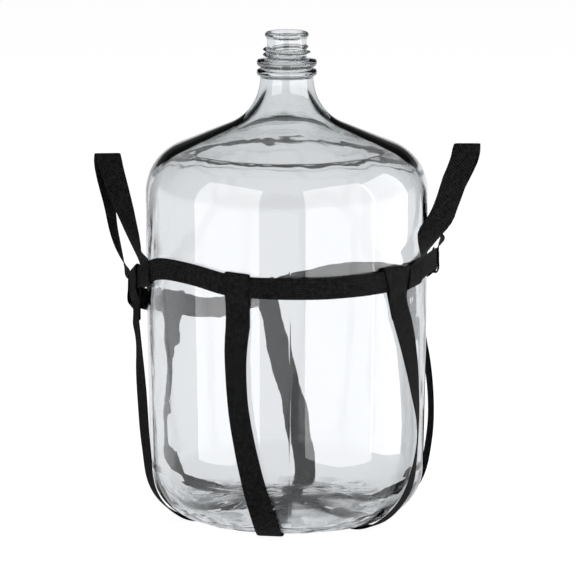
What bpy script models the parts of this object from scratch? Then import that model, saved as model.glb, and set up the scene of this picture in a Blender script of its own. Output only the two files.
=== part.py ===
"""A 5 US gallon glass carboy standing in a carrier sewn from black webbing.

Metres, +Z up, the floor at z = 0 and the bottle's axis on the Z axis. The front faces -Y.
An azimuth is counted in degrees from the front, positive towards +X. Heights in the tables of
the belt and the risers are above the plane that the bottle stands on; the handles' routes are
above the floor.
"""

import math

import bmesh
import bpy
import numpy as np

# Clearance that touching pieces keep.
GAP = 0.0003

# The bottle.
HEIGHT = 0.4845
BODY_RADIUS = 0.1395
BARREL = 0.0435  # how fast the wall draws in below the shoulder, per metre of height squared
HEEL_RADIUS = 0.0497
BEARING_RADIUS = 0.0865
SHOULDER_RADIUS = 0.049
SHOULDER_SLOPE = math.radians(22.6)
SHOULDER_TOP = (0.0600, 0.3920)  # a point on the straight part of the shoulder
NECK_FILLET = 0.050
NECK_RADIUS = 0.0263
RING_RADIUS = 0.0298
RING_HEIGHTS = (0.4445, 0.4540)
RING_HALF = 0.0031
GROOVE_RADIUS = 0.0266
FINISH_RADIUS = 0.0197
THREAD_DEPTH = 0.0039
THREAD_PITCH = 0.0051
THREAD_LOW = 0.4600
THREAD_HIGH = 0.4695
THREAD_HALF = 0.0019
THREAD_OVERRUN = 0.0005  # how far the thread runs past its lowest and highest turn
THREAD_FADE = 0.0012  # the length over which each of its ends fades out
LIP_RADIUS = 0.0217
LIP_HEIGHT = 0.0060
LIP_FLAT = (0.0160, 0.0194)
LIP_UNDERCUT = 0.0006
BORE_RADIUS = 0.0145
BORE_TOP = 0.0016  # how far below the lip's flat top the straight bore ends
NECK_BORE = 0.0188
NECK_BORE_TOP = 0.0020  # how far below the upper ring the wider bore starts to close
NECK_BORE_FILLET = NECK_FILLET + 0.004
WALL = 0.0045
SHOULDER_WALL = 0.0055
HEEL_WALL = 0.0065
HEEL_INSIDE_RADIUS = HEEL_RADIUS - HEEL_WALL + 0.002
HEEL_THINNING = 0.0006  # the wall is this much thicker where the heel starts
PUSH_UP = 0.0095
FLOOR_THICKNESS = 0.0075
FLOOR_LOW = FLOOR_THICKNESS - 0.001  # the inside's lowest height, round the edge of its floor
# The underside from its bearing ring inwards: radius and height.
PUSH_UP_OUTLINE = ((0.0805, 0.0004), (0.0725, 0.0028), (0.052, 0.00741), (0.028, 0.00912))
# The floor's inside from its middle outwards: radius and how far below its middle.
FLOOR_OUTLINE = ((0.028, 0.0004), (0.052, 0.0025))
FLOOR_EDGE = (0.006, 0.0095)  # how far in from the heel's arc, and how far below its middle
ROUND = 48  # sides of the turned shape

# The webbing.
WEB_WIDTH = 0.0245
WEB_THICKNESS = 0.0013
BELT_WIDTH = 0.0210
LAYER = WEB_THICKNESS + GAP
STAND = LAYER  # the bottle stands this high, on the lowest layer of webbing
SEW_LENGTH = 0.022
SEW_DROP = 0.008
STITCH_SIDE = 0.016
STITCH_HEIGHT = 0.0005
STITCH_LINE = 0.0016
STITCH_TIP = 0.75  # how far each leg of the cross stops short, in widths of its line
TAB_STITCH = 0.014
CROSS_STITCH = 0.020
CROSS_HALF = 0.026
CROSS_RAMP = 0.030
UNDER_RADIUS = 0.066
EDGE_MARGIN = 0.001  # room beside and above a strap that crosses the belt
BEND_RISE = 0.0072  # a handle bends this far above the belt's edge
BEND_OUT = 0.0038
BEND_GAP = 0.0020  # between the handle's free loop and its sewn end, along the webbing
BEND_LEAD = 0.0005  # how far above the belt's edge the sewn end comes flat against it
BELT_STEP = 0.0070  # spacing of a strap's sections
RISER_STEP = 0.0110
HANDLE_STEP = 0.0085

# The belt: azimuth, height of its centre line and distance from the glass, in mm.
BELT_ROUTE = (
    (-165, 192.5, 3.2),
    (-150, 187.0, 3.2),
    (-135, 192.0, 3.3),
    (-123, 198.5, 5.6),
    (-112, 206.0, 12.0),
    (-101, 218.0, 18.0),
    (-88, 237.0, 11.5),
    (-76, 248.8, 5.0),
    (-69, 254.8, 3.6),
    (-61, 260.0, 3.2),
    (-47, 262.4, 3.2),
    (-36, 260.5, 3.2),
    (-24, 255.5, 3.2),
    (-8, 253.8, 3.2),
    (12, 253.0, 3.2),
    (35, 253.4, 3.2),
    (50, 254.4, 3.4),
    (64, 257.0, 4.3),
    (78, 260.2, 5.6),
    (92, 257.0, 9.4),
    (105, 245.0, 8.0),
    (118, 231.0, 4.6),
    (131, 226.0, 3.3),
    (145, 223.5, 3.2),
    (160, 218.0, 3.2),
    (172, 210.5, 3.2),
    (183, 202.0, 3.2),
)
LAP_AZIMUTH = 150.0
LAP_DEGREES = 11.0
LAP_RAMP = (-10.0, -2.0)  # where the outer end lifts off, in degrees from the lap's start
CROSSING_SPAN = 4.0  # degrees each side that give the belt's direction at a crossing
CROSSING_WINDOW = 12.0  # degrees each side that are searched for the belt's bulge

# Each riser from the bearing ring up: height, azimuth, distance from the glass, twist.
# Then the azimuth where it crosses the belt and how far it leans there, in degrees.
RISERS = {
    "front": (
        (
            (0, -9.5, 0.95, 0),
            (1.0, -9.4, 2.05, 0),
            (8, -9.2, 2.1, 0),
            (22, -9.7, 2.3, 0),
            (44, -11.8, 2.2, -6),
            (73, -14.9, 2.6, -10),
            (103, -17.4, 3.4, -13),
            (132, -19.2, 4.2, -15),
            (162, -20.1, 4.4, -15),
            (190, -20.3, 3.6, -8),
        ),
        -19.6,
        0.0,
    ),
    "back": (
        (
            (0, 170.5, 0.95, 0),
            (1.0, 170.4, 2.05, 0),
            (12, 170.2, 2.2, 0),
            (32, 172.0, 2.6, 0),
            (49, 174.2, 2.8, 0),
            (71, 175.9, 2.8, 0),
            (101, 178.5, 2.8, 0),
            (128, 182.0, 2.6, 0),
        ),
        188.5,
        -14.0,
    ),
    "right_front": (
        (
            (0, 51.0, 0.95, 0),
            (1.0, 51.5, 2.05, 0),
            (8, 53.0, 2.5, 2),
            (22, 56.0, 2.6, 8),
            (39, 59.5, 3.2, 10),
            (57, 62.6, 4.0, 14),
            (91, 65.0, 5.2, 22),
            (111, 64.6, 5.2, 18),
            (130, 63.0, 4.6, 11),
            (149, 61.2, 4.0, 5),
            (169, 59.0, 3.4, 0),
            (188, 56.6, 2.8, -4),
        ),
        47.5,
        16.0,
    ),
    "left_rear": (
        (
            (0, -129.0, 0.95, 0),
            (1.0, -127.6, 2.05, 0),
            (10, -124.0, 2.4, 2),
            (28, -119.5, 2.6, 6),
            (47, -116.5, 3.0, 10),
            (66, -115.2, 3.6, 13),
            (85, -116.3, 3.8, 14),
            (115, -117.8, 3.6, 12),
            (140, -119.6, 3.2, 6),
        ),
        -122.5,
        4.0,
    ),
    "left": (
        (
            (0, -76.0, 0.95, 0),
            (1.0, -76.1, 2.05, 0),
            (8, -76.4, 2.3, 2),
            (24, -77.5, 2.8, 5),
            (42, -79.0, 3.2, 8),
            (61, -80.2, 4.2, 12),
            (80, -81.5, 5.4, 15),
            (117, -83.2, 6.8, 18),
            (150, -84.6, 8.0, 16),
            (172, -85.8, 8.6, 11),
        ),
        -88.5,
        2.0,
    ),
    "right_rear": (
        (
            (0, 104.0, 0.95, 0),
            (1.0, 103.9, 2.05, 0),
            (8, 103.5, 2.2, 0),
            (24, 102.5, 3.2, 0),
            (42, 101.7, 5.0, 0),
            (61, 101.3, 8.0, 0),
            (80, 101.3, 10.0, 0),
            (103, 101.8, 10.5, 0),
            (132, 103.5, 9.0, 0),
            (155, 106.5, 6.8, 0),
            (174, 110.5, 5.2, 0),
        ),
        118.0,
        -12.0,
    ),
}
# Each base strap: its two risers and how many layers it passes over under the base.
BASE_STRAPS = {
    "base_strap_left_right": ("left", "right_rear", 0),
    "base_strap_diagonal": ("right_front", "left_rear", 1),
    "base_strap_front_back": ("front", "back", 2),
}
# Each handle: the azimuths of its two sewn ends with their lean, and the free loop's route
# from its front end to its rear end: x, y, z in mm above the floor, and the angle from +X that
# its width points to, in degrees.
HANDLES = {
    "handle_left": (
        ((-74.0, 12.0), (-101.0, 8.0)),
        (
            (-154.5, -25.5, 296.0, -54),
            (-159.7, -21.0, 311.0, -43),
            (-166.0, -15.5, 329.0, -31),
            (-171.3, -10.5, 346.0, -20),
            (-175.2, -5.5, 359.5, -10),
            (-177.2, 0.5, 364.8, 4),
            (-178.9, 6.5, 359.0, 20),
            (-179.4, 12.0, 342.0, 44),
            (-177.6, 17.5, 322.0, 62),
            (-175.3, 22.0, 305.0, 69),
            (-172.8, 27.0, 286.0, 74),
            (-168.6, 30.5, 268.0, 80),
        ),
    ),
    "handle_right": (
        ((61.5, -22.0), (93.0, -6.0)),
        (
            (141.0, -53.0, 293.0, 40),
            (151.5, -35.0, 308.0, 30),
            (159.5, -25.0, 325.0, 20),
            (166.5, -16.0, 343.0, 12),
            (173.4, -8.0, 360.0, 5),
            (178.2, -1.0, 374.6, 0),
            (179.0, 6.5, 367.0, -8),
            (174.0, 10.5, 350.0, -20),
            (166.6, 12.5, 332.0, -34),
            (158.2, 13.5, 313.0, -48),
            (152.0, 13.0, 295.0, -62),
        ),
    ),
}


def arc(centre, radius, start, end, steps):
    """Points on an arc, its angles in radians from +X."""
    angles = np.linspace(start, end, steps + 1)
    return [(centre[0] + radius * math.cos(a), centre[1] + radius * math.sin(a)) for a in angles]


def shoulder_height(radius):
    """Height of the straight part of the shoulder's outside at this radius."""
    return SHOULDER_TOP[1] - math.tan(SHOULDER_SLOPE) * (radius - SHOULDER_TOP[0])


def shoulder_centre(corner_radius, wall_radius, drop):
    """Centre of an arc that joins the wall to the shoulder lowered by drop, measured square to it."""
    r = wall_radius - corner_radius
    touch = r + corner_radius * math.sin(SHOULDER_SLOPE)
    z = shoulder_height(touch) - drop / math.cos(SHOULDER_SLOPE)
    return r, z - corner_radius * math.cos(SHOULDER_SLOPE)


def fillet_centre(fillet, neck_radius, drop):
    """Centre of the arc that joins the neck to the shoulder lowered by drop."""
    r = neck_radius + fillet
    touch = r - fillet * math.sin(SHOULDER_SLOPE)
    z = shoulder_height(touch) - drop / math.cos(SHOULDER_SLOPE)
    return r, z + fillet * math.cos(SHOULDER_SLOPE)


def wall_radius(height):
    """Outer radius of the bottle at a height between its bearing ring and its shoulder."""
    if height < HEEL_RADIUS:
        return BEARING_RADIUS + math.sqrt(HEEL_RADIUS**2 - (HEEL_RADIUS - max(height, 0)) ** 2)
    top = shoulder_centre(SHOULDER_RADIUS, BODY_RADIUS, 0)[1]
    drawn = BODY_RADIUS - BARREL * max(top - height, 0) ** 2
    return min(drawn, BODY_RADIUS)


def ring(centre, root):
    """One rounded ring round the neck, from its top to its bottom."""
    angles = np.linspace(math.pi / 2, -math.pi / 2, 7)
    depth = RING_RADIUS - root
    return [(root + depth * math.cos(a) ** 0.7 if abs(a) < 1.57 else root,
             centre + RING_HALF * math.sin(a)) for a in angles]


def outer_outline():
    """The bottle's outside from the lip's flat top down to the middle of its base."""
    bead = (LIP_RADIUS - LIP_HEIGHT / 2, HEIGHT - LIP_HEIGHT / 2)
    points = [(LIP_FLAT[0], HEIGHT)]
    points += arc(bead, LIP_HEIGHT / 2, math.radians(75), math.radians(-75), 6)
    points[1] = (LIP_FLAT[1], HEIGHT)
    points += [(FINISH_RADIUS, HEIGHT - LIP_HEIGHT - LIP_UNDERCUT)]
    rows = np.arange(THREAD_HIGH + THREAD_HALF, THREAD_LOW - THREAD_HALF, -THREAD_PITCH / 6)
    points += [(FINISH_RADIUS, z) for z in rows]
    points += ring(RING_HEIGHTS[1], GROOVE_RADIUS)
    points += ring(RING_HEIGHTS[0], GROOVE_RADIUS)
    points += arc(fillet_centre(NECK_FILLET, NECK_RADIUS, 0), NECK_FILLET, math.pi,
                  3 * math.pi / 2 - SHOULDER_SLOPE, 9)
    corner = shoulder_centre(SHOULDER_RADIUS, BODY_RADIUS, 0)
    points += arc(corner, SHOULDER_RADIUS, math.pi / 2 - SHOULDER_SLOPE, 0, 9)
    points += [(wall_radius(z), z) for z in np.linspace(corner[1], HEEL_RADIUS, 6)[1:-1]]
    points += arc((BEARING_RADIUS, HEEL_RADIUS), HEEL_RADIUS, 0, -math.pi / 2, 9)
    return points + list(PUSH_UP_OUTLINE)


def inner_outline():
    """The bottle's inside from the middle of its floor up to the lip."""
    floor = PUSH_UP + FLOOR_THICKNESS
    inside = BODY_RADIUS - WALL
    heel = HEEL_INSIDE_RADIUS
    edge = wall_radius(HEEL_RADIUS) - WALL - HEEL_THINNING - heel
    points = [(r, floor - drop) for r, drop in FLOOR_OUTLINE]
    points += [(edge - FLOOR_EDGE[0], floor - FLOOR_EDGE[1])]
    points += arc((edge, heel + FLOOR_LOW), heel, -math.pi / 2, 0, 7)
    corner = shoulder_centre(SHOULDER_RADIUS - WALL, inside, SHOULDER_WALL)
    top, bottom = corner[1], heel + FLOOR_THICKNESS
    points += [(wall_radius(z) - WALL, z) for z in np.linspace(bottom, top, 6)[1:-1]]
    points += arc(corner, SHOULDER_RADIUS - WALL, 0, math.pi / 2 - SHOULDER_SLOPE, 7)
    points += arc(fillet_centre(NECK_BORE_FILLET, NECK_BORE, SHOULDER_WALL), NECK_BORE_FILLET,
                  3 * math.pi / 2 - SHOULDER_SLOPE, math.pi, 7)
    points += [(NECK_BORE, RING_HEIGHTS[1] - NECK_BORE_TOP), (BORE_RADIUS, THREAD_LOW)]
    points += [(BORE_RADIUS, HEIGHT - BORE_TOP)]
    return points


def thread_lift(angle, z):
    """How far the helical thread stands out at an angle (0 at +X) and height."""
    turns = (THREAD_HIGH - z) / THREAD_PITCH
    nearest = round(turns - angle / (2 * math.pi)) + angle / (2 * math.pi)
    crest = THREAD_HIGH - nearest * THREAD_PITCH
    low, high = THREAD_LOW - THREAD_OVERRUN, THREAD_HIGH + THREAD_OVERRUN
    if not low <= crest <= high:
        return 0.0
    ease = min(1.0, (crest - low) / THREAD_FADE, (high - crest) / THREAD_FADE)
    away = abs(z - crest) / THREAD_HALF
    return THREAD_DEPTH * ease * max(0.0, math.cos(min(away, 1.0) * math.pi / 2)) ** 0.8


def mesh_object(name, points, faces, material, origin=(0, 0, 0)):
    """A smooth-shaded object from world points and faces, its origin where given."""
    mesh = bpy.data.meshes.new(name)
    shift = np.asarray(origin, float)
    mesh.from_pydata([tuple(np.asarray(p) - shift) for p in points], [], faces)
    work = bmesh.new()
    work.from_mesh(mesh)
    bmesh.ops.recalc_face_normals(work, faces=work.faces)
    if work.calc_volume(signed=True) < 0:
        bmesh.ops.reverse_faces(work, faces=work.faces)
    work.to_mesh(mesh)
    work.free()
    mesh.shade_smooth()
    mesh.set_sharp_from_angle(angle=math.radians(35))
    mesh.materials.append(material)
    thing = bpy.data.objects.new(name, mesh)
    thing.location = origin
    bpy.context.scene.collection.objects.link(thing)
    return thing


def glass_carboy(material):
    """The bottle: one turned wall, with the thread raised on its finish."""
    outline = outer_outline() + [None] + inner_outline()
    points, loops, poles = [], [], []
    for place in outline:
        if place is None:
            poles.append(len(loops))
            continue
        row = []
        for i in range(ROUND):
            angle = 2 * math.pi * i / ROUND
            r, z = place
            if r == FINISH_RADIUS:
                r += thread_lift(angle, z)
            row.append(len(points))
            points.append((r * math.cos(angle), r * math.sin(angle), z + STAND))
        loops.append(row)
    faces = []
    for k in range(len(loops)):
        below, above = loops[k], loops[(k + 1) % len(loops)]
        if k + 1 == poles[0]:
            continue
        faces += [(below[i], below[(i + 1) % ROUND], above[(i + 1) % ROUND], above[i])
                  for i in range(ROUND)]
    for loop, z in ((loops[poles[0] - 1], PUSH_UP), (loops[poles[0]], PUSH_UP + FLOOR_THICKNESS)):
        points.append((0, 0, z + STAND))
        faces += [(loop[i], loop[(i + 1) % ROUND], len(points) - 1) for i in range(ROUND)]
    return mesh_object("glass_carboy", points, faces, material, (0, 0, STAND))


def unit(vector):
    """The vector at length 1."""
    return np.asarray(vector, float) / np.linalg.norm(vector)


def around(azimuth, radius, height):
    """A point from its azimuth in degrees, radius and height above the bottle's stand."""
    a = math.radians(azimuth)
    return np.array([radius * math.sin(a), -radius * math.cos(a), height + STAND])


def smooth(rows, step):
    """Rows about step apart on the natural cubic curve through the given rows (x, y, z first)."""
    rows = np.asarray(rows, float)
    knots = np.concatenate([[0], np.cumsum(np.linalg.norm(np.diff(rows[:, :3], axis=0), axis=1))])
    gaps = np.diff(knots)
    count = len(rows)
    system, right = np.eye(count), np.zeros_like(rows)
    for i in range(1, count - 1):
        system[i, i - 1 : i + 2] = gaps[i - 1], 2 * (gaps[i - 1] + gaps[i]), gaps[i]
        rise = (rows[i + 1] - rows[i]) / gaps[i] - (rows[i] - rows[i - 1]) / gaps[i - 1]
        right[i] = 6 * rise
    bends = np.linalg.solve(system, right)
    out = []
    for i, gap in enumerate(gaps):
        parts = max(1, round(gap / step))
        for t in np.arange(parts) / parts * gap:
            a, b = gap - t, t
            out.append((bends[i] * a**3 + bends[i + 1] * b**3) / (6 * gap)
                       + (rows[i] / gap - bends[i] * gap / 6) * a
                       + (rows[i + 1] / gap - bends[i + 1] * gap / 6) * b)
    return np.array(out + [rows[-1]])


def ribbon(name, centres, widths, material, width=WEB_WIDTH, origin=(0, 0, 0)):
    """A flat strap along centres, each section cut along its own widths direction."""
    centres = np.asarray(centres, float)
    runs = np.gradient(centres, axis=0)
    points, faces = [], []
    for centre, run, across in zip(centres, runs, widths):
        run, across = unit(run), unit(across)
        skew = np.dot(run, across)
        out = unit(np.cross(across, run)) * WEB_THICKNESS / 2
        across = across * width / 2 / math.sqrt(1 - skew**2)
        points += [centre + across + out, centre + across - out,
                   centre - across - out, centre - across + out]
    last = 4 * (len(centres) - 1)
    for k in range(0, last, 4):
        faces += [(k + i, k + (i + 1) % 4, k + 4 + (i + 1) % 4, k + 4 + i) for i in range(4)]
    faces += [(3, 2, 1, 0), (last, last + 1, last + 2, last + 3)]
    return mesh_object(name, points, faces, material, origin)


def belt_curve():
    """Azimuths, and centres of the belt, all the way round with some to spare at both ends."""
    table = np.array(BELT_ROUTE, float)
    turn = np.array([360.0, 0, 0])
    table = np.concatenate([table - turn, table, table + turn])
    rows = [np.append(around(a, wall_radius(z / 1000) + out / 1000, z / 1000), a)
            for a, z, out in table]
    rows = smooth(rows, BELT_STEP)
    return rows[:, 3], rows[:, :3]


def belt_at(azimuth):
    """The belt's centre at an azimuth, or a row of centres for a row of azimuths."""
    azimuths, centres = belt_curve()
    return np.transpose([np.interp(azimuth, azimuths, c) for c in centres.T])


class BeltPlace:
    """Where a strap crosses the belt: the belt's centre there and the strap's own directions."""

    def __init__(self, azimuth, lean):
        self.centre = belt_at(azimuth)
        self.across = unit(belt_at(azimuth + CROSSING_SPAN) - belt_at(azimuth - CROSSING_SPAN))
        rise = unit(np.array([0, 0, 1.0]) - self.across * self.across[2])
        self.out = unit(np.cross(self.across, rise))
        upright = rise_of(self.out)
        level = unit(np.cross(upright, self.out))
        lean = math.radians(lean)
        self.up = upright * math.cos(lean) - level * math.sin(lean)
        skew = float(np.dot(self.up, self.across))
        self.reach = (BELT_WIDTH / 2 + GAP) / math.sqrt(1 - skew**2)
        half = WEB_WIDTH / 2 / math.sqrt(1 - skew**2) + self.reach * abs(skew) + EDGE_MARGIN
        window = np.linspace(azimuth - CROSSING_WINDOW, azimuth + CROSSING_WINDOW, 97)
        near = belt_at(window) - self.centre
        depth = near[np.abs(near @ self.across) < half] @ self.out
        self.front = depth.max() + LAYER
        self.back = depth.min() - LAYER

    def at(self, up, out):
        return self.centre + self.up * up + self.out * out

    def fold(self, sign):
        """Centres of the half turn over (sign 1) or under (sign -1) the belt, from its front."""
        middle, radius = (self.front + self.back) / 2, (self.front - self.back) / 2
        angles = np.linspace(0, math.pi, 7)
        return [self.at(sign * (self.reach + radius * math.sin(a)), middle + radius * math.cos(a))
                for a in angles]


def rise_of(out):
    """The direction nearest to straight up that is square to out."""
    return unit(np.array([0, 0, 1.0]) - out * out[2])


def riser(name):
    """Centres and width directions from under the base up, over the belt and down behind it."""
    table, azimuth, lean = RISERS[name]
    place = BeltPlace(azimuth, lean)
    first = math.radians(table[0][1])
    inner = around(table[0][1], UNDER_RADIUS, 0)
    inner[2] = WEB_THICKNESS / 2
    rows = [np.concatenate([inner, [math.cos(first), math.sin(first), 0]])]
    for height, turn, off, twist in table:
        height, off = height / 1000, off / 1000
        low = max(0.0, 1 - height / HEEL_RADIUS)
        centre = around(turn, wall_radius(height) + off * math.sqrt(1 - low**2), height - off * low)
        width = math.radians(turn + twist)
        rows.append(np.concatenate([centre, [math.cos(width), math.sin(width), 0]]))
    sewn_top = -place.reach - SEW_DROP
    sewn_end = sewn_top - SEW_LENGTH
    front = place.back + LAYER
    rows.append(np.concatenate([place.at(sewn_end, front), place.across]))
    rows = smooth(rows, RISER_STEP)
    rows[:, 2] = np.maximum(rows[:, 2], WEB_THICKNESS / 2)
    over = [place.at(sewn_top, front), place.at(-place.reach - EDGE_MARGIN, place.front)]
    over += [place.at(0, place.front)] + place.fold(1)
    over += [place.at(0, place.back), place.at(sewn_top, place.back), place.at(sewn_end, place.back)]
    return list(rows[:, :3]) + over, list(rows[:, 3:]) + [place.across] * len(over), place


def base_strap(name, material):
    """One strap: down a riser, under the base over the straps below it, and up the other one."""
    first, second, level = BASE_STRAPS[name]
    here, here_widths, _ = riser(first)
    there, there_widths, _ = riser(second)
    ends = np.array([here[0], there[0]])
    under = []
    for t in np.linspace(0, 1, 17)[1:-1]:
        centre = ends[0] + (ends[1] - ends[0]) * t
        ease = (CROSS_HALF + CROSS_RAMP - np.linalg.norm(centre[:2])) / CROSS_RAMP
        ease = min(max(ease, 0), 1)
        centre[2] += level * LAYER * (1 - math.cos(math.pi * ease)) / 2
        under.append(centre)
    across = here_widths[0]
    centres = here[::-1] + under + there
    widths = here_widths[::-1] + [across] * len(under) + [-w for w in there_widths]
    return ribbon(name, centres, widths, material)


def belt(material):
    """The belt, its far end lapped outside its near end."""
    azimuths, centres = belt_curve()
    start = LAP_AZIMUTH - 360
    inside = (azimuths >= start) & (azimuths <= LAP_AZIMUTH + LAP_DEGREES)
    azimuths, centres = azimuths[inside], centres[inside].copy()
    ease = np.clip((azimuths - LAP_AZIMUTH - LAP_RAMP[0]) / (LAP_RAMP[1] - LAP_RAMP[0]), 0, 1)
    radial = centres * [1, 1, 0]
    centres += radial / np.linalg.norm(radial, axis=1)[:, None] * (ease * LAYER)[:, None]
    widths = [np.array([0, 0, 1.0])] * len(centres)
    return ribbon("belt", centres, widths, material, BELT_WIDTH)


def bend_points(ends):
    """The places of a handle's two sewn ends, and the points that it folds about above them."""
    places = [BeltPlace(*end) for end in ends]
    bends = [p.at(p.reach + BEND_RISE, p.front + BEND_OUT) for p in places]
    return places, bends, unit(bends[0] - bends[1])


def handle_end(name, place, bend, axis, material):
    """The sewn end of a handle: from its bend down the belt's front, under it and up behind it."""
    lead = place.at(place.reach + BEND_LEAD, place.front)
    centres = [bend + unit(lead - bend) * BEND_GAP, lead, place.at(0, place.front)]
    centres += place.fold(-1) + [place.at(0, place.back), place.at(place.reach, place.back)]
    turned = axis * np.sign(np.dot(axis, place.across))
    widths = [turned] + [place.across] * (len(centres) - 1)
    return ribbon(name, centres, widths, material)


def handle(name, material):
    """The free loop of a handle, turning about the line through its two bends."""
    ends, route = HANDLES[name]
    _, (front, rear), axis = bend_points(ends)
    axis = axis * -np.sign(front[0])
    rows = [np.concatenate([front, axis])]
    for x, y, z, turn in route:
        a = math.radians(turn)
        rows.append(np.array([x / 1000, y / 1000, z / 1000, math.cos(a), math.sin(a), 0]))
    rows.append(np.concatenate([rear, -axis]))
    rows = smooth(rows, HANDLE_STEP)
    return ribbon(name, rows[:, :3], rows[:, 3:], material, origin=(front + rear) / 2)


def stitch(name, centre, up, out, material, side=STITCH_SIDE):
    """A box stitch with its cross, as one thin body lying on a strap's face."""
    up, out = unit(up), unit(out)
    across = np.cross(up, out)
    half = side / 2
    inner = half - STITCH_LINE
    tip = STITCH_LINE * STITCH_TIP
    corners = [(-half, -half), (half, -half), (half, half), (-half, half)]
    flat, faces = [np.array(c) for c in corners], []
    for i in range(4):
        turn = np.array([[0, -1], [1, 0]])
        quarter = np.linalg.matrix_power(turn, i)
        window = (-inner + tip, -inner), (inner - tip, -inner), (0, -tip)
        flat += [quarter @ np.array(p) for p in window]
    for i in range(4):
        a, b, c = 4 + 3 * i, 5 + 3 * i, 6 + 3 * i
        before = 4 + 3 * ((i + 3) % 4)
        faces.append((i, (i + 1) % 4, b, a))
        faces.append((i, a, c, before + 2, before + 1))
    faces.append((6, 9, 12, 15))
    base = np.asarray(centre) + out * (WEB_THICKNESS / 2 + GAP)
    points = [base + across * p[0] + up * p[1] for p in flat]
    points += [p + out * STITCH_HEIGHT for p in points]
    count = len(flat)
    walls = [((i + 1) % 4, i) for i in range(4)]
    for i in range(4):
        a, b, c = 4 + 3 * i, 5 + 3 * i, 6 + 3 * i
        walls += [(a, b), (b, c), (c, a)]
    solid = [face[::-1] for face in faces] + [tuple(v + count for v in face) for face in faces]
    solid += [(a, b, b + count, a + count) for a, b in walls]
    return mesh_object(name, points, solid, material)


def material(name, colour, roughness, transmission=0.0):
    """A plain Principled material."""
    made = bpy.data.materials.new(name)
    made.use_nodes = True
    shader = made.node_tree.nodes["Principled BSDF"]
    shader.inputs["Base Color"].default_value = (*colour, 1)
    shader.inputs["Roughness"].default_value = roughness
    shader.inputs["Metallic"].default_value = 0.0
    shader.inputs["Transmission Weight"].default_value = transmission
    return made


def build():
    """Clear the scene and make every piece."""
    for thing in list(bpy.data.objects):
        bpy.data.objects.remove(thing)
    glass = material("clear_glass", (0.88, 0.93, 0.91), 0.02, 1.0)
    webbing = material("black_webbing", (0.012, 0.012, 0.013), 0.85)
    thread = material("black_thread", (0.03, 0.03, 0.032), 0.7)

    glass_carboy(glass)
    belt(webbing)
    for name in BASE_STRAPS:
        base_strap(name, webbing)
    for name in RISERS:
        place = riser(name)[2]
        lower = -place.reach - SEW_DROP - SEW_LENGTH / 2
        centre = place.at(lower, place.back + LAYER)
        stitch(f"stitch_riser_{name}", centre, place.up, place.out, thread)
    for name, (ends, _) in HANDLES.items():
        places, bends, axis = bend_points(ends)
        for which, place, bend in zip(("front", "rear"), places, bends):
            handle_end(f"{name}_{which}_end", place, bend, axis, webbing)
            middle = place.at(0, place.front)
            stitch(f"stitch_{name}_{which}", middle, place.up, place.out, thread, TAB_STITCH)
        handle(name, webbing)
    lap = BeltPlace(LAP_AZIMUTH + LAP_DEGREES / 2, 0.0)
    stitch("stitch_belt_lap", lap.at(0, lap.front), lap.up, lap.out, thread, TAB_STITCH)
    top = np.array([0, 0, WEB_THICKNESS / 2 + 2 * LAYER])
    stitch("stitch_base_cross", top, (0, 1, 0), (0, 0, 1), thread, CROSS_STITCH)


build()
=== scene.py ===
"""Looks for a 5 US gallon glass carboy standing in a carrier sewn from black webbing.

Everything is in metres in the CAD's frame: +Z up, the floor at z = 0, the front facing -Y.
Azimuths are counted in degrees from the front, positive towards +X. Heights in the tables of
the belt and the risers are above the plane that the bottle stands on; the handles' routes are
above the floor.
"""

import math

import bmesh
import bpy
import numpy as np
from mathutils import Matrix, Vector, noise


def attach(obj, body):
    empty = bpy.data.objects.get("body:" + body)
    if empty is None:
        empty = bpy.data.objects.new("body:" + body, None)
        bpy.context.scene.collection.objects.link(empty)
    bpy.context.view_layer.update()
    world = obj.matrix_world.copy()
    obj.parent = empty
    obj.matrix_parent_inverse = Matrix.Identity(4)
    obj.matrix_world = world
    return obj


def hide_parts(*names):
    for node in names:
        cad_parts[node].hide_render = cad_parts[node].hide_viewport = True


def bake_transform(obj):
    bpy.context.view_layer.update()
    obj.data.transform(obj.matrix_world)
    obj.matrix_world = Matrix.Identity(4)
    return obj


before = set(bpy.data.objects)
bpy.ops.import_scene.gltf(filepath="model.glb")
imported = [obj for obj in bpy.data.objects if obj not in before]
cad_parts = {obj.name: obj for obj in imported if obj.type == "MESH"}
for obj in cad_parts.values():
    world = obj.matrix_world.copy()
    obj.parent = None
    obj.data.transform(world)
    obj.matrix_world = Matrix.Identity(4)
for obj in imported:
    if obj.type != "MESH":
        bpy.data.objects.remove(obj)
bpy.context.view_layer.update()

# ---------------------------------------------------------------- sizes, as in the CAD
GAP = 0.0003
HEIGHT = 0.4845
BODY_RADIUS = 0.1395
BARREL = 0.0435  # how fast the wall draws in below the shoulder, per metre of height squared
HEEL_RADIUS = 0.0497
BEARING_RADIUS = 0.0865
SHOULDER_RADIUS = 0.049
SHOULDER_SLOPE = math.radians(22.6)
SHOULDER_TOP = (0.0600, 0.3920)  # a point on the straight part of the shoulder
NECK_FILLET = 0.050
NECK_RADIUS = 0.0263
RING_RADIUS = 0.0298
RING_HEIGHTS = (0.4445, 0.4540)
RING_HALF = 0.0031
GROOVE_RADIUS = 0.0266
FINISH_RADIUS = 0.0197
THREAD_DEPTH = 0.0039
THREAD_PITCH = 0.0051
THREAD_LOW = 0.4600
THREAD_HIGH = 0.4695
THREAD_HALF = 0.0019
THREAD_OVERRUN = 0.0005  # how far the thread runs past its lowest and highest turn
THREAD_FADE = 0.0012  # the length over which each of its ends fades out
LIP_RADIUS = 0.0217
LIP_HEIGHT = 0.0060
LIP_FLAT = (0.0160, 0.0194)
BORE_RADIUS = 0.0145
BORE_TOP = 0.0016  # how far below the lip's flat top the straight bore ends
NECK_BORE = 0.0188
NECK_BORE_TOP = 0.0020  # how far below the upper ring the wider bore starts to close
NECK_BORE_FILLET = NECK_FILLET + 0.004
WALL = 0.0045
SHOULDER_WALL = 0.0055
HEEL_WALL = 0.0065
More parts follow.
